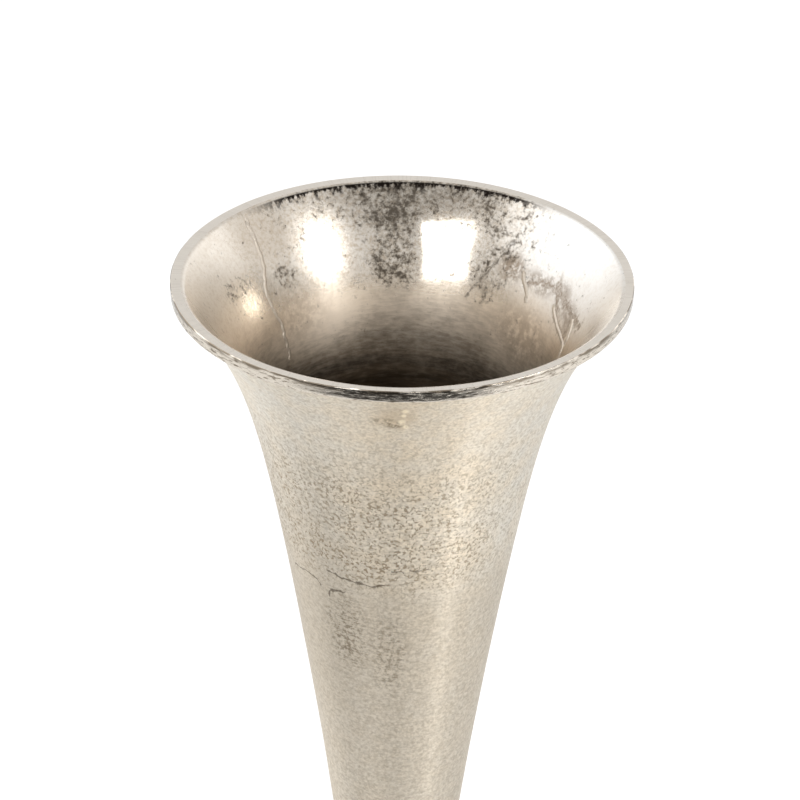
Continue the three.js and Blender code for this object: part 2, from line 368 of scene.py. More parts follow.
def coated(colour, *coats):
    """A colour under coats, each a mask, the most that it covers and a colour."""
    for mask, cover, coat in coats:
        colour = mix_colour(mask * cover, colour, coat)
    return colour


def layered(base, *layers):
    """A number with layers added to it, each a mask and its height."""
    for mask, height in layers:
        base = calculate("MULTIPLY_ADD", mask, height, base)
    return base


def largest(*values):
    return reduce(partial(calculate, "MAXIMUM"), values)


def smallest(*values):
    return reduce(partial(calculate, "MINIMUM"), values)


def new_material(name):
    """A material with no surface yet, and the place on the piece that it is seen at."""
    material = bpy.data.materials.new(name)
    material.use_nodes = True
    material.node_tree.nodes.clear()
    return material, outcome(material.node_tree, "ShaderNodeTexCoord", output="Object")


def finish_surface(inputs, relief):
    """The surface shader, with its relief given as a height in metres."""
    tree = relief.tree
    bump = {"Height": relief, "Strength": 1.0, "Distance": 1.0}
    normal = outcome(tree, "ShaderNodeBump", bump)
    surface = outcome(tree, "ShaderNodeBsdfPrincipled", {**inputs, "Normal": normal})
    add_node(tree, "ShaderNodeOutputMaterial", {"Surface": surface})


def finish_metal(colour, roughness, relief, brushing=0.0):
    """Bare metal; brushing draws its glints out across the turning marks."""
    inputs = {"Base Color": colour, "Metallic": 1.0, "Roughness": roughness}
    if brushing:
        inputs.update({"Anisotropic": brushing, "Anisotropic Rotation": 0.25})
    finish_surface(inputs, relief)


def depth_below_lip(place):
    return LIP_TOP - split(place)[2]


# Marks on a wall unrolled from the side it faces: along it the arc, down it the depth below the lip
def compass(angle):
    return Vector((cos(radians(angle)), sin(radians(angle)), 0))


def unrolled(place, wall):
    ahead = vector_number("DOT_PRODUCT", place, compass(wall.facing))
    aside = vector_number("DOT_PRODUCT", place, compass(wall.facing + 90))
    return join(calculate("ARCTAN2", aside, ahead) * wall.reach, depth_below_lip(place), 0.0)


def mark_at(wall, angle, depth):
    turn = (angle - wall.facing + 180) % 360 - 180
    return Vector((radians(turn) * wall.reach, depth * MM, 0))


def distance_to_stretch(where, start, end):
    """How far a place on the unrolled wall is from a straight stretch."""
    along = end - start
    out = where - start
    share = vector_number("DOT_PRODUCT", out, along / along.length_squared)
    share = calculate("ADD", share, 0.0, clamp=True)
    return vector_number("DISTANCE", out, scaled(along, share))


def patch(where, wall, angle, depth, breadth, drop):
    """A soft-edged oval, 1 in its middle."""
    out = (where - mark_at(wall, angle, depth)) / (breadth * MM, drop * MM, 1)
    return ease(vector_number("LENGTH", out), 1.0, 0.25)


def patches(where, wall, rows):
    """At each place the strongest of some patches."""
    return largest(*[patch(where, wall, *oval) * strength for *oval, strength in rows])


def drawn_lines(place, wall, courses, thin, thick):
    """Wavering lines along courses on a wall, of uneven thickness."""
    wobble = ease(noise(place, 5 * MM, 3.0, 0.6), 0.2, 0.8, -LINE_WOBBLE, LINE_WOBBLE)
    where = unrolled(place, wall) + join(0.0, wobble, 0.0)
    distances = []
    for course in courses:
        marks = [mark_at(wall, *mark) for mark in course]
        distances += [distance_to_stretch(where, start, end) for start, end in zip(marks, marks[1:])]
    width = ease(noise(place, 4 * MM, 2.0, 0.5, offset=0.5), 0.35, 0.65, thin, thick)
    return ease(smallest(*distances) / width, 1.0, 0.15)


# Finishes
def cast_outside():
    """Satin sand-cast nickel: peeled skin, a band of worm-like pits, hairline cracks, dirt, faint lathe
    rings, a few gilt beads under the lip, and painted shade low down and on the left."""
    material, place = new_material("cast_outside")
    depth = depth_below_lip(place)
    where = unrolled(place, OUTSIDE)
    spot = partial(patch, where, OUTSIDE)

    outward = vector_math("NORMALIZE", place * (1, 1, 0))
    front_left = vector_number("DOT_PRODUCT", outward, compass(-110))
    band = ease(depth, 35 * MM, 110 * MM) * ease(depth, 172 * MM, 138 * MM)
    band = band * ease(front_left, 0.25, 0.7, 0.3, 1.0)
    clusters = ease(noise(place, 30 * MM, 3.0, 0.6, offset=0.31), 0.3, 0.7)
    pitted = band * mix_number(clusters, 0.45, 1.0)
    curls = noise(place, 2.7 * MM, 1.0, 0.45, distortion=0.3) - 0.5
    curls = ease(calculate("ABSOLUTE", curls), 0.13, 0.03)
    breaks = ease(noise(place, 2.1 * MM, 1.0, 0.5, offset=0.9), 0.46, 0.57)
    pits = curls * breaks
    cracks = drawn_lines(place, OUTSIDE, HAIRLINES, 0.4 * MM, 1.35 * MM)
    peel = ease(noise(place, 1.7 * MM, 2.0, 0.55, offset=0.6), 0.3, 0.7)

    rings = noise(place * (0.1, 0.1, 1.0), 1.4 * MM, 4.0, 0.7)
    grain = noise(place, 2.6 * MM, 4.0, 0.7, offset=2.4) * 0.65 + rings * 0.35
    # Painted shade: lower down the body is painted darker, for the darker floor near the vase that it
    # mirrors; grime gathers there too
    low = ease(depth, 120 * MM, 185 * MM)
    grimy = largest(patches(where, OUTSIDE, GRIME), low * 0.3, band * 0.35)
    grime = grimy * ease(grain, 0.45, 0.6)
    warmth = ease(noise(place, 16 * MM, 4.0, 0.65, offset=1.7), 0.35, 0.68)
    warmth = spot(-84, 110, 62, 200) * 0.55 + warmth * 0.45
    flecks = noise(place, 2.2 * MM, 2.0, 0.5, offset=3.1)
    smudge = patches(where, OUTSIDE, LIP_SMUDGES) * ease(flecks, 0.4, 0.6)
    beads = patches(where, OUTSIDE, GILT_BEADS) * ease(flecks, 0.3, 0.5, 0.45, 1.0)

    colour = coated(
        mix_colour(warmth, (0.86, 0.825, 0.75), (0.92, 0.81, 0.65)),
        # painted shade low down
        (low, 0.7, (0.69, 0.62, 0.515)),
        # painted shade on the left side, over some real grime
        (spot(-142, 175, 66, 150), 0.6, (0.60, 0.54, 0.45)),
        (peel, 0.42, (0.50, 0.425, 0.32)),
        (grime, 0.8, (0.23, 0.185, 0.13)),
        (pits, mix_number(pitted, 0.2, 0.8), (0.28, 0.205, 0.12)),
        (cracks, 0.75, (0.12, 0.095, 0.065)),
        (spot(-91, 25, 10, 14), 0.4, (0.6, 0.47, 0.31)),
        (smudge, 0.8, (0.24, 0.18, 0.11)),
        (beads, 1.0, (0.99, 0.88, 0.68)),
    )
    blemish = largest(pits * pitted, cracks)
    roughness = mix_number(blemish, mix_number(grime, 0.43, 0.5), 0.55)
    relief = layered(
        pits * mix_number(pitted, -0.015 * MM, -0.05 * MM),
        (cracks, -0.2 * MM),
        (peel, -0.02 * MM),
        (rings, 0.006 * MM),
        (beads, 0.3 * MM),
    )
    finish_metal(colour, roughness, relief, brushing=0.85)
    return material


def polished_throat():
    """Polished inside: soot and oxide specks below the lip, a hammered left wall, stains at the right, a
    hazy right wall with painted sheen, and brushed dark metal deep down, darkened further with depth as
    painted shade."""
    material, place = new_material("polished_throat")
    depth = depth_below_lip(place)
    where = unrolled(place, THROAT)
    drift = partial(patch, where, THROAT)

    wiped = patches(where, THROAT, WIPED_CLEAN)
    field = drift(86, 18, 110, 52) * 0.67 * mix_number(wiped, 1.0, 0.2)
    dirty = largest(patches(where, THROAT, SPECK_CLUSTERS), field)
    specks = noise(place, 2.2 * MM, 3.0, 0.65, offset=2.2) * 0.58
    specks = specks + noise(place, 7 * MM, 3.0, 0.6, offset=5.2) * 0.42
    excess = mix_number(dirty, 0.34, 0.555) - specks
    tarnish = ease(excess, -0.2, 0.05) * ease(dirty, 0.1, 0.7)
    broken = ease(noise(place, 1.6 * MM, 3.0, 0.6, offset=6.1), 0.35, 0.6, 0.4, 0.85)
    scrape = drawn_lines(place, THROAT, SCRAPE_COURSES, 0.5 * MM, 2.6 * MM)
    oxide = largest(ease(excess, -0.08, 0.1), scrape * broken)
    tongues = noise(where * (1, 0.6, 1), 3.4 * MM, 5.0, 0.78, offset=0.8)
    reach = ease(tongues, 0.38, 0.72, 1.3 * MM, 8.5 * MM)
    soot = ease(depth / reach, 1.1, 0.35) * ease(depth, 0.5 * MM, 1.1 * MM)
    soot = soot * ease(drift(91, 0, 96, 60), 0.0, 0.6)
    stain = ease(noise(place, 5 * MM, 5.0, 0.7, offset=1.9), 0.34, 0.58)
    stain = patches(where, THROAT, WALL_STAINS) * stain
    streaks = drawn_lines(place, THROAT, STAIN_COURSES, 1.5 * MM, 6 * MM)
    stain = largest(stain, streaks * broken)

    stretched = place * (0.08, 0.08, 1.0)
    rings = noise(stretched, 1.6 * MM, 4.0, 0.7)
    strokes = noise(where * (0.2, 1.0, 1.0), 1.7 * MM, 3.0, 0.65, offset=4.4)
    blotches = noise(place, 9 * MM, 4.0, 0.65, offset=1.1)
    uneven = layered(
        depth,
        (blotches, 26 * MM),
        (rings, 12 * MM),
        (ease(strokes, 0.36, 0.64), 8 * MM),
        (drift(128, 54, 56, 40), -25 * MM),
        (drift(38, 70, 34, 34), -14 * MM),
    )
    # Painted shade: deep down the wall darkens to nearly black with depth, partly dark brushed metal and
    # partly shade painted into the deep recess
    raw = ease(uneven, 62 * MM, 131 * MM)
    bands = ease(noise(stretched, 5 * MM, 4.0, 0.65, offset=2.7), 0.36, 0.64)
    raw_and_shade_colour = mix_colour(bands, (0.055, 0.041, 0.027), (0.125, 0.095, 0.065))
    # A hazy patch on the right wall: rougher, and painted a pale near-white as painted sheen where it
    # mirrors the bright side of the room
    right_haze_and_sheen = drift(22, 18, 74, 46)
    mottle = ease(noise(place, 2.4 * MM, 5.0, 0.75, offset=7.3), 0.42, 0.66) * ease(depth, 70 * MM, 38 * MM)
    mottle = mottle * mix_number(drift(96, 20, 120, 60), 0.3, 0.7) * mix_number(right_haze_and_sheen, 1.0, 0.5)

    colour = coated(
        mix_colour(blotches, (0.84, 0.785, 0.71), (0.75, 0.685, 0.6)),
        # painted sheen on the hazy right wall
        (right_haze_and_sheen, 1.0, (0.94, 0.93, 0.91)),
        # painted shade: warmer and darker with depth
        (ease(depth, 34 * MM, 60 * MM), 1.0, (0.82, 0.73, 0.62)),
        (drift(139, 13, 30, 24), 0.4, (0.54, 0.44, 0.33)),
        (mottle, 1.0, (0.5, 0.40, 0.29)),
        (stain, 0.92, (0.25, 0.18, 0.12)),
        # dark brushed metal and painted shade deep down
        (raw, 1.0, raw_and_shade_colour),
        (tarnish, 0.55, (0.36, 0.305, 0.235)),
        (oxide, 0.9, (0.075, 0.06, 0.045)),
        (soot, 1.0, (0.014, 0.01, 0.008)),
    )
    haze = largest(right_haze_and_sheen, patches(where, THROAT, SATIN_WALLS))
    roughness = mix_number(haze, 0.19, 0.36)
    roughness = mix_number(right_haze_and_sheen, roughness, 0.5)
    roughness = mix_number(patches(where, THROAT, MIRROR_POLISH), roughness, 0.08)
    roughness = mix_number(ease(depth, 40 * MM, 74 * MM), roughness, 0.47)
    roughness = mix_number(largest(oxide, stain, soot), roughness, 0.45)
    hammering = drift(164, 36, 44, 26) * noise(place, 3.4 * MM, 2.0, 0.6, offset=8.1)
    relief = layered(
        rings * mix_number(raw, 0.004 * MM, 0.06 * MM),
        (blotches, 0.03 * MM),
        (specks, 0.018 * MM),
        (hammering, 0.12 * MM),
    )
    finish_metal(colour, roughness, relief, brushing=0.3)
    return material


def seam_metal():
    """The low seams inside the throat, a little paler and duller than the wall."""
    material, place = new_material("seam_metal")
    grain = noise(place, 1.2 * MM, 3.0, 0.6)
    # Painted shade: the seams are painted darker deeper in the throat
    deep = ease(depth_below_lip(place), 40 * MM, 80 * MM)
    colour = mix_colour(grain, (0.74, 0.68, 0.6), (0.5, 0.43, 0.35))
    colour = mix_colour(deep, colour, (0.56, 0.49, 0.41))
    finish_metal(colour, mix_number(grain, 0.45, 0.6), grain * (0.03 * MM))
    return material


def filed_lip():
    """The lip's flat top: fine file marks across it, and a few nicks."""
    material, place = new_material("filed_lip")
    spoke = vector_math("NORMALIZE", place * (1, 1, 0))
    marks = noise(spoke, 0.006, 3.0, 0.7)
    tone = noise(place, 14 * MM, 3.0, 0.6)
    nicks = ease(noise(place, 2.5 * MM, 2.0, 0.5, offset=4.0), 0.74, 0.8)
    colour = coated(
        mix_colour(tone, (0.85, 0.80, 0.73), (0.75, 0.69, 0.61)),
        (ease(marks, 0.5, 0.65), 0.3, (0.5, 0.45, 0.39)),
        (nicks, 1.0, (0.34, 0.30, 0.25)),
    )
    relief = layered(marks * (0.02 * MM), (nicks, -0.1 * MM))
    finish_metal(colour, mix_number(marks, 0.3, 0.42), relief)
    return material


def hammered_edge():
    """The lip's outer band: bright, scuffed and dinted along its length, with dark streaks of painted
    reflection.
    """
    material, place = new_material("hammered_edge")
    along = place * (0.16, 0.16, 1)
    dints = noise(along, 2.4 * MM, 2.0, 0.5)
    scuffs_and_streaks = noise(along, 0.7 * MM, 3.0, 0.65, offset=0.4)
    dull = ease(scuffs_and_streaks, 0.5, 0.68)
    painted_edge_reflection = ease(depth_below_lip(place), 3.4 * MM, 1.2 * MM) * ease(dints, 0.42, 0.56)
    # The dark streaks are painted reflection of the dark floor in front, strongest just under the lip's
    # top; the scuffs also dull the metal
    dark = largest(ease(scuffs_and_streaks, 0.5, 0.36), painted_edge_reflection)
    colour = mix_colour(dark, (0.84, 0.77, 0.67), (0.25, 0.205, 0.155))
    relief = layered(dints * (0.05 * MM), (dull, 0.012 * MM))
    finish_metal(colour, mix_number(dull, 0.08, 0.3), relief)
    return material


def raw_hollow():
    """Unplated sandy casting where the foot's hollow and the joint faces are left as poured."""
    material, place = new_material("raw_hollow")
    sand = noise(place, 1.1 * MM, 3.0, 0.65)
    stains = ease(noise(place, 18 * MM, 3.0, 0.6), 0.35, 0.7)
    colour = mix_colour(stains, (0.44, 0.43, 0.41), (0.28, 0.26, 0.23))
    finish_metal(colour, mix_number(sand, 0.45, 0.7), sand * (0.12 * MM))
    return material


def zinc_plate():
    """Bright zinc on steel, with the clouding that it gets."""
    material, place = new_material("zinc_plate")
    cloud = ease(noise(place, 4 * MM, 3.0, 0.6), 0.3, 0.7)
    scratch = noise(place, 0.5 * MM, 2.0, 0.6)
    colour = mix_colour(cloud, (0.62, 0.63, 0.65), (0.45, 0.46, 0.46))
    finish_metal(colour, mix_number(scratch, 0.22, 0.42), scratch * (0.01 * MM))
    return material


def pressed_felt():
    """Grey wool felt: flecked colour and a matted surface."""
    material, place = new_material("pressed_felt")
    fibres = noise(place, 0.6 * MM, 4.0, 0.7)
    colour = mix_colour(fibres, (0.05, 0.048, 0.045), (0.17, 0.16, 0.15))
    finish_surface({"Base Color": colour, "Roughness": 0.95, "Sheen Weight": 0.4}, fibres * (0.25 * MM))
    return material


# Outlines: each station's finish is that of the stretch that starts there
Station = namedtuple("Station", "radius height finish stray dint shift thread flats", defaults=(0,) * 6)


def arc(centre_radius, centre_height, radius, start, steps, **surface):
    """A quarter round, anticlockwise from an angle in quarter turns."""
    stations = []
    for i in range(steps + 1):
        angle = (start + i / steps) * pi / 2
        out, up = radius * cos(angle), radius * sin(angle)
        stations.append(Station(centre_radius + out, centre_height + up, **surface))
    return stations


def bend(start, corner, end, steps, **surface):
    """A quadratic curve between two points, pulled towards a corner, without its first point."""
    stations = []
    for i in range(1, steps + 1):
        t = i / steps
        weights = ((1 - t) ** 2, 2 * t * (1 - t), t**2)
        radius, height = (sum(map(mul, weights, values)) for values in zip(start, corner, end))
        stations.append(Station(radius, height, **surface))
    return stations


def straight(start, end, steps, **surface):
    """Even stations from start to end, without the last."""
    stations = []
    for i in range(steps):
        radius, height = (low + (high - low) * (i / steps) for low, high in zip(start, end))
        stations.append(Station(radius, height, **surface))
    return stations


def trumpet_radius(height):
    rise = max(height, 0) / FLARE_LENGTH
    spread = (1 - FLARE_SHARE) * rise**TAPER_POWER + FLARE_SHARE * rise**FLARE_POWER
    return NECK_RADIUS + (FLARE_RADIUS - NECK_RADIUS) * spread


def trumpet_slope(height):
    rise = max(height, 0) / FLARE_LENGTH
    cone = (1 - FLARE_SHARE) * TAPER_POWER * rise ** (TAPER_POWER - 1)
    flare = FLARE_SHARE * FLARE_POWER * rise ** (FLARE_POWER - 1)
    return (FLARE_RADIUS - NECK_RADIUS) * (cone + flare) / FLARE_LENGTH


def bore_radius(height):
    return trumpet_radius(height) - TRUMPET_WALL * hypot(1, trumpet_slope(height))


def core_shift(height):
    """The share of the core's shift that shows in the throat: all of it at the lip, none deep down."""
    return max(0, 1 - (TRUMPET_LENGTH - height) / CORE_SHIFT_LENGTH) ** 2


def crowded(low, high, power):
    """Heights of a wall's stations from low to high, closer together towards high."""
    shares = [i / WALL_STATIONS for i in range(WALL_STATIONS + 1)]
    return [high - (high - low) * (1 - share) ** power for share in shares]


def trumpet_outline():
    outside = {"finish": 0, "stray": BODY_STRAY}
    edge = {"finish": 1, "stray": LIP_STRAY, "dint": LIP_DINT}
    top = {"finish": 2, "stray": LIP_STRAY}
    throat = {"finish": 3, "stray": BODY_STRAY}
    raw = {"finish": 4}
    hole = STUD_RADIUS + THREAD_CLEARANCE

    stations = [
        Station(0, BLIND_HOLE_DEPTH + DRILL_POINT, **raw),
        Station(hole, BLIND_HOLE_DEPTH, **raw),
        Station(hole, -SPIGOT_HEIGHT, **raw),
        Station(SPIGOT_RADIUS, -SPIGOT_HEIGHT, **raw),
        Station(SPIGOT_RADIUS, 0, **raw),
        Station(NECK_RADIUS - NECK_EDGE, 0, finish=0),
    ]
    for height in crowded(NECK_EDGE, FLARE_LENGTH - LIP_COVE, OUTSIDE_CROWDING):
        stations.append(Station(trumpet_radius(height), height, **outside))
    cove_end = (MOUTH_RADIUS - LIP_LOW_ROUND, FLARE_LENGTH)
    stations += bend(stations[-1][:2], (FLARE_RADIUS, FLARE_LENGTH), cove_end, steps=8, **outside)
    band_low, band_high = FLARE_LENGTH + LIP_LOW_ROUND, TRUMPET_LENGTH - LIP_TOP_ROUND
    stations += arc(MOUTH_RADIUS - LIP_LOW_ROUND, band_low, LIP_LOW_ROUND, -1, steps=5, **edge)
    stations += straight((MOUTH_RADIUS, band_low), (MOUTH_RADIUS, band_high), steps=6, **edge)[1:]
    stations += arc(MOUTH_RADIUS - LIP_TOP_ROUND, band_high, LIP_TOP_ROUND, 0, steps=6, **edge)[:-1]
    inner_edge = bore_radius(TRUMPET_LENGTH)
    flat_start = (MOUTH_RADIUS - LIP_TOP_ROUND, TRUMPET_LENGTH)
    flat_end = (inner_edge + LIP_INNER_ROUND, TRUMPET_LENGTH)
    flat_steps = 6
    flat = straight(flat_start, flat_end, flat_steps, **top) + [Station(*flat_end, **top)]
    stations += [station._replace(shift=i / flat_steps) for i, station in enumerate(flat)]
    throat_top = TRUMPET_LENGTH - LIP_INNER_ROUND
    throat_start = (bore_radius(throat_top), throat_top)
    stations += bend(flat_end, (inner_edge, TRUMPET_LENGTH), throat_start, steps=8, shift=1, **throat)
    fillet_top = TRUMPET_FLOOR_HEIGHT + FLOOR_FILLET
    for height in reversed(crowded(fillet_top, throat_top - LIP_INNER_GAP, THROAT_CROWDING)):
        stations.append(Station(bore_radius(height), height, shift=core_shift(height), **throat))
    floor_radius = bore_radius(fillet_top)
    fillet_corner = (floor_radius, TRUMPET_FLOOR_HEIGHT)
    fillet_end = (floor_radius - FLOOR_FILLET, TRUMPET_FLOOR_HEIGHT)
    stations += bend((floor_radius, fillet_top), fillet_corner, fillet_end, steps=6, **throat)
    stations.append(Station(0, TRUMPET_FLOOR_HEIGHT, finish=3))
    return stations


def ring_outline():
    height = ring_high.z - ring_low.z
    bulge = ring_high.x - RING_LAND
    steps = 24
    stations = [Station(RING_BORE, 0, finish=1), Station(RING_LAND - RING_EDGE, 0)]
    for i in range(steps + 1):
        angle = pi * (i / steps - 0.5)
        rise = height / 2 * (1 + sin(angle))
        stations.append(Station(RING_LAND + bulge * cos(angle), rise, stray=SMALL_STRAY))
    stations.append(Station(RING_LAND - RING_EDGE, height, finish=1))
    stations.append(Station(RING_BORE, height, finish=1))
    stations.append(Station(RING_BORE, 0, finish=1))
    return stations


def foot_flare():
    """The flared outer face from the ledge up to the stem: radius, height and slope."""
    reach = FOOT_RADIUS - FOOT_EDGE_RADIUS - FOOT_STEP - STEM_RADIUS
    rise = FOOT_HEIGHT - FOOT_EDGE_HEIGHT
    points = []
    for i in range(FLARE_STATIONS + 1):
        left = 1 - (i / FLARE_STATIONS) ** FOOT_CROWDING
        radius = STEM_RADIUS + reach * left**FOOT_FLARE_POWER
        slope = -reach * FOOT_FLARE_POWER * left ** (FOOT_FLARE_POWER - 1) / rise
        points.append((radius, FOOT_EDGE_HEIGHT + rise * (1 - left), slope))
    return points


def foot_outline():
    outside = {"finish": 0, "stray": SMALL_STRAY}
    raw = {"finish": 1, "stray": SMALL_STRAY}
    edge = FOOT_EDGE_RADIUS
    land_inner = FOOT_RADIUS - FOOT_LAND
    plate = FOOT_HEIGHT - FOOT_PLATE
    hole = STUD_RADIUS + HOLE_CLEARANCE
    spigot_top = FOOT_HEIGHT + SPIGOT_HEIGHT

    stations = [Station(land_inner, 0, finish=1)]
    stations += arc(FOOT_RADIUS - edge, edge, edge, -1, steps=6, **outside)
    stations += arc(FOOT_RADIUS - edge, FOOT_EDGE_HEIGHT - edge, edge, 0, steps=6, **outside)
    stations += [Station(radius, height, **outside) for radius, height, _ in foot_flare()]
    stations += [
        Station(SPIGOT_RADIUS, FOOT_HEIGHT, finish=1),
        Station(SPIGOT_RADIUS, spigot_top, finish=1),
        Station(hole, spigot_top, finish=1),
        Station(hole, plate, finish=1),
    ]
    hollow = []
    for radius, height, slope in foot_flare():
        reach = FOOT_WALL / hypot(1, slope)
        hollow.append((radius - reach, height + slope * reach))
    kept = [point for point in hollow if point[0] < land_inner and point[1] < plate]
    stations.append(Station(kept[-1][0], plate, **raw))
    stations += [Station(*point, **raw) for point in reversed(kept)]
    stations.append(Station(land_inner, kept[0][1], **raw))
    stations.append(Station(land_inner, 0, finish=1))
    return stations


def stud_outline():
    length = stud_high.z - stud_low.z
    core = STUD_RADIUS - STUD_CHAMFER
    steps = round(length / (THREAD_PITCH / STATIONS_PER_TURN))
    stations = [Station(0, 0), Station(core, 0)]
    shank_low, shank_high = (STUD_RADIUS, STUD_CHAMFER), (STUD_RADIUS, length - STUD_CHAMFER)
    stations += straight(shank_low, shank_high, steps, thread=THREAD_DEPTH)
    stations += [Station(*shank_high, thread=THREAD_DEPTH), Station(core, length), Station(0, length)]
    return stations


def washer_outline():
    thickness = washer_high.z - washer_low.z
    rim = washer_high.x
    stations = [Station(WASHER_BORE, 0)]
    stations += arc(rim - WASHER_EDGE, WASHER_EDGE, WASHER_EDGE, -1, steps=4)
    stations += arc(rim - WASHER_EDGE, thickness - WASHER_EDGE, WASHER_EDGE, 0, steps=4)
    stations += [Station(WASHER_BORE, thickness), Station(WASHER_BORE, 0)]
    return stations


def nut_outline():
    height = nut_high.z - nut_low.z
    bore = STUD_RADIUS + THREAD_CLEARANCE
    face_circle = NUT_FLATS / 2 * NUT_FACE_SHARE
    corner = NUT_FLATS / sqrt(3)
    return [
        Station(bore, NUT_CHAMFER),
        Station(bore + NUT_CHAMFER, 0),
        Station(face_circle, 0, flats=1),
        Station(corner, NUT_CHAMFER, flats=1),
        Station(corner, height - NUT_CHAMFER, flats=1),
        Station(face_circle, height, flats=1),
        Station(bore + NUT_CHAMFER, height),
        Station(bore, height - NUT_CHAMFER),
        Station(bore, NUT_CHAMFER),
    ]


def pad_outline(radius, height):
    edge = PAD_EDGE_RADIUS
    swell = {"stray": PAD_STRAY}
    stations = [Station(0, 0), Station(radius * 0.5, 0)]
    stations += arc(radius - edge, edge, edge, -1, steps=5, **swell)
    stations += straight((radius, edge), (radius, height - edge), steps=6, **swell)[1:]
    stations += arc(radius - edge, height - edge, edge, 0, steps=5, **swell)
    stations += [Station(radius * 0.5, height), Station(0, height)]
    return stations


# Geometry trees
def new_tree(name, inputs, output):
    """A geometry tree with its named inputs, and the values that they give."""
    tree = bpy.data.node_groups.new(name, "GeometryNodeTree")
    for title, kind in inputs.items():
        tree.interface.new_socket(title, in_out="INPUT", socket_type=f"NodeSocket{kind}")
    tree.interface.new_socket(output, in_out="OUTPUT", socket_type="NodeSocketGeometry")
    sockets = add_node(tree, "NodeGroupInput").outputs
    return tree, {title: Value(sockets[title]) for title in inputs}


def step(kind, geometry, inputs=None, **settings):
    """One geometry node that takes a shape and gives it back changed."""
    return outcome(geometry.tree, f"GeometryNode{kind}", {0: geometry, **(inputs or {})}, **settings)


def attribute(tree, name):
    return outcome(tree, "GeometryNodeInputNamedAttribute", {"Name": name}, "Attribute", data_type="FLOAT")


def own_position(tree):
    return outcome(tree, "GeometryNodeInputPosition")


def lumpy(size, seed):
    """Noise from about 0 to 1 over the shape, with a size and seed that are tree inputs."""
    scale = calculate("DIVIDE", 1.0, size)
    inputs = {"Vector": own_position(seed.tree), "W": seed, "Scale": scale, "Detail": 3.0, "Roughness": 0.5}
    return outcome(seed.tree, "ShaderNodeTexNoise", inputs, "Fac", noise_dimensions="4D")


def turning_tree(name, materials):
    """Turns an outline about the Z axis, cuts its thread and flats, lets the surface stray inwards and
    gives each stretch of the outline its finish."""
    inputs = {
        "Outline": "Geometry",
        "Segments": "Int",
        "Centre": "Vector",
        "Core Shift": "Vector",
        "Lump Size": "Float",
        "Dint Size": "Float",
        "Thread Pitch": "Float",
        "Across Flats": "Float",
        "Seed": "Float",
    }
    tree, given = new_tree(name, inputs, "Piece")
    outline, segments, seed = given["Outline"], given["Segments"], given["Seed"]
    count = outcome(tree, "GeometryNodeAttributeDomainSize", {0: outline}, "Point Count", component="MESH")
    index = outcome(tree, "GeometryNodeInputIndex")
    station = calculate("MODULO", index, count)

    def from_outline(value, station, kind="FLOAT"):
        sample = {"Geometry": outline, "Value": value, "Index": station}
        return outcome(tree, "GeometryNodeSampleIndex", sample, data_type=kind, domain="POINT")

    def trait(title):
        return from_outline(attribute(tree, title), station)

    def stored(shape, title, value, domain):
        labelled = {"Name": title, "Value": value}
        return step("StoreNamedAttribute", shape, labelled, data_type="FLOAT", domain=domain)

    turn = calculate("FLOOR", (index + 0.5) / count) / segments
    angle = turn * (2 * pi)
    radius, _, height = split(from_outline(own_position(tree), station, "FLOAT_VECTOR"))
    helix = height / given["Thread Pitch"] - turn
    radius = radius - calculate("PINGPONG", helix, 0.5) * 2.0 * trait("thread")
    sector = calculate("MODULO", angle, pi / 3) - pi / 6
    flat = given["Across Flats"] / 2 / calculate("COSINE", sector)
    proud = calculate("MAXIMUM", radius - flat, 0.0)
    radius = radius - proud * trait("flats")
    around = join(radius * calculate("COSINE", angle), radius * calculate("SINE", angle), height)
    around = around + given["Centre"] + scaled(given["Core Shift"], trait("shift"))

    shape = outcome(tree, "GeometryNodeMeshGrid", {"Vertices X": segments + 1, "Vertices Y": count}, "Mesh")
    for title in ("stray", "dint"):
        shape = stored(shape, title, trait(title), "POINT")
    face_station = calculate("MODULO", index, count - 1)
    shape = stored(shape, "finish", from_outline(attribute(tree, "finish"), face_station), "FACE")
    shape = step("SetPosition", shape, {"Position": around})
    shape = step("MergeByDistance", shape, {"Distance": MERGE_DISTANCE})

    lumps = lumpy(given["Lump Size"], seed) * attribute(tree, "stray")
    dints = lumpy(given["Dint Size"], seed) * attribute(tree, "dint")
    inward = scaled(outcome(tree, "GeometryNodeInputNormal"), (lumps + dints) * -1.0)
    shape = step("SetPosition", shape, {"Offset": inward})
    shape = step("SetShadeSmooth", shape)
    fold = outcome(tree, "GeometryNodeInputMeshEdgeAngle", output="Unsigned Angle")
    sharp = {"Selection": calculate("GREATER_THAN", fold, SHARP_ANGLE), "Shade Smooth": False}
    shape = step("SetShadeSmooth", shape, sharp, domain="EDGE")
    shape = step("RealizeInstances", shape)
    for number, material in enumerate(materials):
        apart = calculate("ABSOLUTE", attribute(tree, "finish") - number)
        chosen = {"Selection": calculate("LESS_THAN", apart, 0.5), "Material": material}
        shape = step("SetMaterial", shape, chosen)
    add_node(tree, "NodeGroupOutput", {"Piece": shape})
    return tree


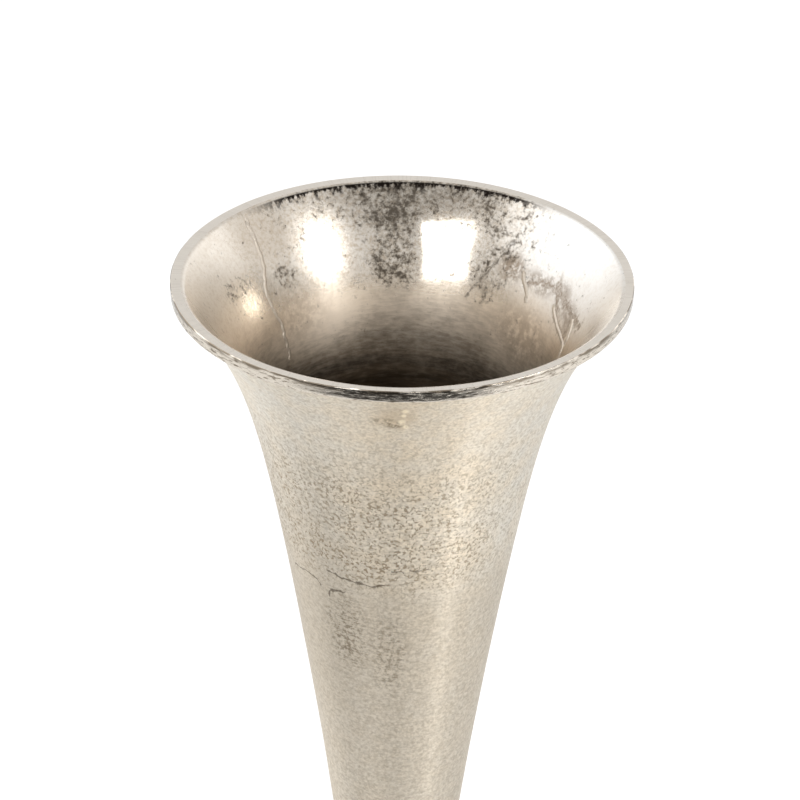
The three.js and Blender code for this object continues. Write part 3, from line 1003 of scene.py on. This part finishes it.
def seam_tree(material):
    """Lays a round bead along a course, a little uneven; all but its crest is sunk in the wall."""
    inputs = {"Course": "Geometry", "Width": "Float", "Wander": "Float", "Points": "Int", "Seed": "Float"}
    tree, given = new_tree("raised_seam", inputs, "Seam")
    width, seed = given["Width"], given["Seed"]
    course = step("MeshToCurve", given["Course"])
    course = step("CurveSplineType", course, spline_type="CATMULL_ROM")
    course = step("ResampleCurve", course, {"Count": given["Points"]})
    aside = vector_math("NORMALIZE", vector_math("CROSS_PRODUCT", (0, 0, 1), own_position(tree)))
    wander = scaled(aside, (lumpy(width, seed) - 0.5) * given["Wander"])
    course = step("SetPosition", course, {"Offset": wander})
    circle = {"Resolution": SEAM_FACETS, "Radius": width * 0.5}
    profile = outcome(tree, "GeometryNodeCurvePrimitiveCircle", circle)
    swell = ease(lumpy(width * 0.7, seed), 0.25, 0.75, 0.965, 1.025)
    sweep = {"Profile Curve": profile, "Scale": swell, "Fill Caps": True}
    seam = step("CurveToMesh", course, sweep)
    seam = step("SetShadeSmooth", seam)
    seam = step("RealizeInstances", seam)
    seam = step("SetMaterial", seam, {"Material": material})
    add_node(tree, "NodeGroupOutput", {"Seam": seam})
    return tree


def fuzz_tree(material):
    """Covers a pad's side with short loose fibres."""
    inputs = {
        "Pad": "Geometry",
        "Density": "Float",
        "Length": "Float",
        "Thickness": "Float",
        "Lowest": "Float",
        "Highest": "Float",
        "Seed": "Int",
    }
    tree, given = new_tree("felt_fuzz", inputs, "Pad")
    pad, seed = given["Pad"], given["Seed"]
    height = split(own_position(tree))[2]
    above = calculate("GREATER_THAN", height, given["Lowest"])
    below = calculate("LESS_THAN", height, given["Highest"])
    spread = {"Mesh": pad, "Selection": above * below, "Density": given["Density"], "Seed": seed}
    spots = add_node(tree, "GeometryNodeDistributePointsOnFaces", spread).outputs
    cone = {
        "Vertices": 3,
        "Side Segments": 2,
        "Radius Bottom": given["Thickness"],
        "Radius Top": 0.0,
        "Depth": given["Length"],
    }
    fibre = outcome(tree, "GeometryNodeMeshCone", cone, "Mesh", fill_type="NGON")
    lean = {
        "Min": (-FIBRE_LEAN, -FIBRE_LEAN, 0.0),
        "Max": (FIBRE_LEAN, FIBRE_LEAN, FIBRE_TWIST),
        "Seed": seed,
    }
    lean = outcome(tree, "FunctionNodeRandomValue", lean, "Value", data_type="FLOAT_VECTOR")
    turned = {0: Value(spots["Rotation"]), 1: lean}
    turned = outcome(tree, "FunctionNodeRotateRotation", turned, rotation_space="LOCAL")
    fibres = {"Instance": fibre, "Rotation": turned}
    fibres = step("InstanceOnPoints", Value(spots["Points"]), fibres)
    both = add_node(tree, "GeometryNodeJoinGeometry", {0: pad})
    fill_inputs(both, {0: fibres})
    pad = step("RealizeInstances", Value(both.outputs[0]))
    pad = step("SetMaterial", pad, {"Material": material})
    add_node(tree, "NodeGroupOutput", {"Pad": pad})
    return tree


# Pieces
def linked_object(name, data):
    piece = bpy.data.objects.new(name, data)
    bpy.context.scene.collection.objects.link(piece)
    return piece


def chain_mesh(name, points):
    """A mesh of points joined by edges, one after the other."""
    mesh = bpy.data.meshes.new(name)
    mesh.from_pydata(points, [(i, i + 1) for i in range(len(points) - 1)], [])
    return mesh


def grow(piece, tree, values):
    """Runs a geometry tree on a piece and keeps what it makes as the piece's plain mesh."""
    modifier = piece.modifiers.new(tree.name, "NODES")
    modifier.node_group = tree
    for item in tree.interface.items_tree:
        if item.name in values:
            modifier[item.identifier] = values[item.name]
    depsgraph = bpy.context.evaluated_depsgraph_get()
    mesh = bpy.data.meshes.new_from_object(piece.evaluated_get(depsgraph))
    piece.modifiers.clear()
    for slot in reversed(range(len(mesh.materials))):
        if mesh.materials[slot] is None:
            mesh.materials.pop(index=slot)
    piece.data = mesh
    return piece


def turned_piece(name, outline, base, materials, segments, **values):
    mesh = chain_mesh(name, [(station.radius, 0, base + station.height) for station in outline])
    for title in Station._fields[2:]:
        layer = mesh.attributes.new(title, "FLOAT", "POINT")
        layer.data.foreach_set("value", [float(getattr(station, title)) for station in outline])
    settings = {
        "Segments": segments,
        "Centre": (0.0, 0.0, 0.0),
        "Core Shift": CORE_SHIFT,
        "Lump Size": 40 * MM,
        "Dint Size": 7 * MM,
        "Thread Pitch": THREAD_PITCH,
        "Across Flats": NUT_FLATS,
        "Seed": 1.0,
    }
    settings.update(values)
    return grow(linked_object(name, mesh), turning_tree(f"{name}_turning", materials), settings)


def dress(piece, slot, *nodes):
    """Puts a piece on the vase's one body, in the place of its CAD nodes."""
    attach(piece, "root")
    if nodes:
        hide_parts(*nodes)


def build_castings():
    outside, throat, raw = cast_outside(), polished_throat(), raw_hollow()
    finishes = [outside, hammered_edge(), filed_lip(), throat, raw]
    lumps = {"Lump Size": 60 * MM, "Seed": 3.0}
    outline = trumpet_outline()
    trumpet = turned_piece("trumpet_casting", outline, TRUMPET_BASE, finishes, TRUMPET_SEGMENTS, **lumps)
    dress(trumpet, "cast_nickel", "trumpet_body")
    lumps = {"Lump Size": 20 * MM, "Seed": 5.0}
    ring = turned_piece("bead_casting", ring_outline(), RING_BASE, [outside, raw], FOOT_SEGMENTS, **lumps)
    dress(ring, "cast_nickel", "bead_ring")
    lumps = {"Lump Size": 30 * MM, "Seed": 8.0}
    foot = turned_piece("foot_casting", foot_outline(), FOOT_BASE, [outside, raw], FOOT_SEGMENTS, **lumps)
    dress(foot, "cast_nickel", "foot")
    build_seams(seam_metal())


def build_seams(material):
    tree = seam_tree(material)
    for number, course in enumerate(SEAM_COURSES, 1):
        points = []
        for angle, depth in course:
            height = TRUMPET_LENGTH - depth * MM
            rise = -SEAM_END_SUNK if (angle, depth) in (course[0], course[-1]) else SEAM_RISE
            radius = bore_radius(height) + SEAM_WIDTH / 2 - rise
            place = compass(angle) * radius + Vector((0, 0, TRUMPET_BASE + height))
            points.append(place + CORE_SHIFT * core_shift(height))
        name = f"throat_seam_{number}"
        seam = linked_object(name, chain_mesh(name, points))
        values = {
            "Width": SEAM_WIDTH,
            "Wander": SEAM_WANDER,
            "Points": SEAM_POINTS_PER_MARK * len(course),
            "Seed": float(number),
        }
        grow(seam, tree, values)
        dress(seam, "cast_nickel")


def build_fasteners():
    zinc = zinc_plate()
    fasteners = (
        ("threaded_stud", stud_outline(), stud_low.z, "clamp_stud"),
        ("flat_washer", washer_outline(), washer_low.z, "plain_washer"),
        ("clamp_nut", nut_outline(), nut_low.z, "hex_nut"),
    )
    for name, outline, base, node in fasteners:
        piece = turned_piece(name, outline, base, [zinc], FASTENER_SEGMENTS)
        dress(piece, "zinc_steel", node)
    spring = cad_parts["spring_washer"]
    spring.data.materials.clear()
    spring.data.materials.append(zinc)


def build_pads():
    felt = pressed_felt()
    fuzz = fuzz_tree(felt)
    for number in range(1, 5):
        low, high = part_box(f"felt_pad_{number}")
        middle = (low + high) / 2
        outline = pad_outline((high.x - low.x) / 2, high.z - low.z)
        centre = (middle.x, middle.y, 0.0)
        values = {"Centre": centre, "Lump Size": 3 * MM, "Seed": float(number)}
        pad = turned_piece(f"floor_pad_{number}", outline, low.z, [felt], PAD_SEGMENTS, **values)
        settings = {
            "Density": FIBRES_PER_SQUARE_METRE,
            "Length": FIBRE_LENGTH,
            "Thickness": FIBRE_RADIUS,
            "Lowest": low.z + BARE_PAD_EDGE,
            "Highest": high.z - BARE_PAD_EDGE,
            "Seed": number,
        }
        grow(pad, fuzz, settings)
        dress(pad, "grey_felt", f"felt_pad_{number}")


# Studio
def add_floor():
    """A pale table top; mirrored in the metal, it ends at the darker floor of the room."""
    bpy.ops.mesh.primitive_plane_add(size=FLOOR_SIZE)
    floor = bpy.context.object
    floor.name = "floor"
    material, place = new_material("pale_floor")
    tree = place.tree
    path = add_node(tree, "ShaderNodeLightPath").outputs
    beyond = ease(split(place)[1], TABLE_FRONT, TABLE_FRONT - TABLE_FADE) * Value(path["Is Glossy Ray"])
    colour = mix_colour(beyond, (0.8, 0.8, 0.8), (0.06, 0.06, 0.06))
    shown = largest(Value(path["Is Camera Ray"]), Value(path["Is Transmission Ray"]))
    matt = outcome(tree, "ShaderNodeBsdfDiffuse", {"Color": colour})
    lift = outcome(tree, "ShaderNodeEmission", {"Strength": shown * FLOOR_LIFT})
    surface = outcome(tree, "ShaderNodeAddShader", {0: matt, 1: lift})
    add_node(tree, "ShaderNodeOutputMaterial", {"Surface": surface})
    floor.data.materials.append(material)


def direction_to(azimuth, elevation):
    turn, lift = radians(azimuth), radians(elevation)
    return Vector((sin(turn) * cos(lift), cos(turn) * cos(lift), sin(lift)))


def add_softbox(box):
    """A soft light seen from the mouth in a direction; at brightness 1 it looks white."""
    away = direction_to(box.azimuth, box.elevation)
    light = bpy.data.lights.new(box.name, "AREA")
    light.shape = box.shape
    light.size = box.width
    light.size_y = box.height
    area = box.width * box.height * (pi / 4 if box.shape == "ELLIPSE" else 1)
    light.energy = box.brightness * pi * area
    lamp = linked_object(box.name, light)
    lamp.location = Vector((0, 0, LIP_TOP)) + away * LAMP_DISTANCE
    lamp.rotation_euler = away.to_track_quat("Z", "Y").to_euler()


def glow_seen(direction, glow):
    """A soft round glow in the room, full out to its inner angle and gone at its outer one."""
    nearness = vector_number("DOT_PRODUCT", direction, direction_to(glow.azimuth, glow.elevation))
    inner, outer = cos(radians(glow.inner)), cos(radians(glow.outer))
    return ease(nearness, outer, inner, 0.0, glow.strength)


def add_world():
    """A white room with bright walls at both sides, haze round the key light and a dimmer ceiling in front;
    the camera itself sees plain white."""
    world = bpy.data.worlds.new("studio")
    bpy.context.scene.world = world
    world.use_nodes = True
    tree = world.node_tree
    tree.nodes.clear()
    direction = outcome(tree, "ShaderNodeTexCoord", output="Generated")
    room = ROOM_BRIGHTNESS
    for glow in ROOM_GLOWS:
        room = room + glow_seen(direction, glow)
    to_camera = outcome(tree, "ShaderNodeLightPath", output="Is Camera Ray")
    light = {"Color": (1, 1, 1, 1), "Strength": mix_number(to_camera, room, 1.0)}
    background = outcome(tree, "ShaderNodeBackground", light)
    add_node(tree, "ShaderNodeOutputWorld", {"Surface": background})


def rotated(first, second, angle):
    """Two axes, or two coordinates, turned by an angle in their plane."""
    return cos(angle) * first + sin(angle) * second, cos(angle) * second - sin(angle) * first


def add_camera():
    """Looks at the mouth from the photograph's angle, turned so that the rim falls on its pixel."""
    camera = bpy.data.cameras.new("camera")
    camera.lens = LENS_MM
    camera.sensor_width = SENSOR_MM
    viewer = linked_object("camera", camera)
    bpy.context.scene.camera = viewer
    down, roll = radians(CAMERA_DEPRESSION), radians(CAMERA_ROLL)
    towards = Vector((0, cos(down), -sin(down)))
    right = Vector((1, 0, 0))
    up = right.cross(towards)
    focal = LENS_MM / SENSOR_MM * PICTURE_PIXELS
    x, y = (pixel - PICTURE_PIXELS / 2 for pixel in RIM_CENTRE_PIXEL)
    level_x, level_y = rotated(x, y, roll)
    yaw = atan2(level_x, focal)
    pitch = atan2(level_y, hypot(focal, level_x))
    look, top = rotated(towards, up, pitch)
    side, look = rotated(right, look, yaw)
    x_axis, y_axis = rotated(side, top, roll)
    turn = Matrix((x_axis, y_axis, -look)).transposed().to_4x4()
    viewer.matrix_world = Matrix.Translation(Vector((0, 0, LIP_TOP)) - towards * CAMERA_DISTANCE) @ turn


bpy.context.scene.view_settings.view_transform = "Standard"
build_castings()
build_fasteners()
build_pads()
add_floor()
add_world()
for softbox in SOFTBOXES:
    add_softbox(softbox)
add_camera()
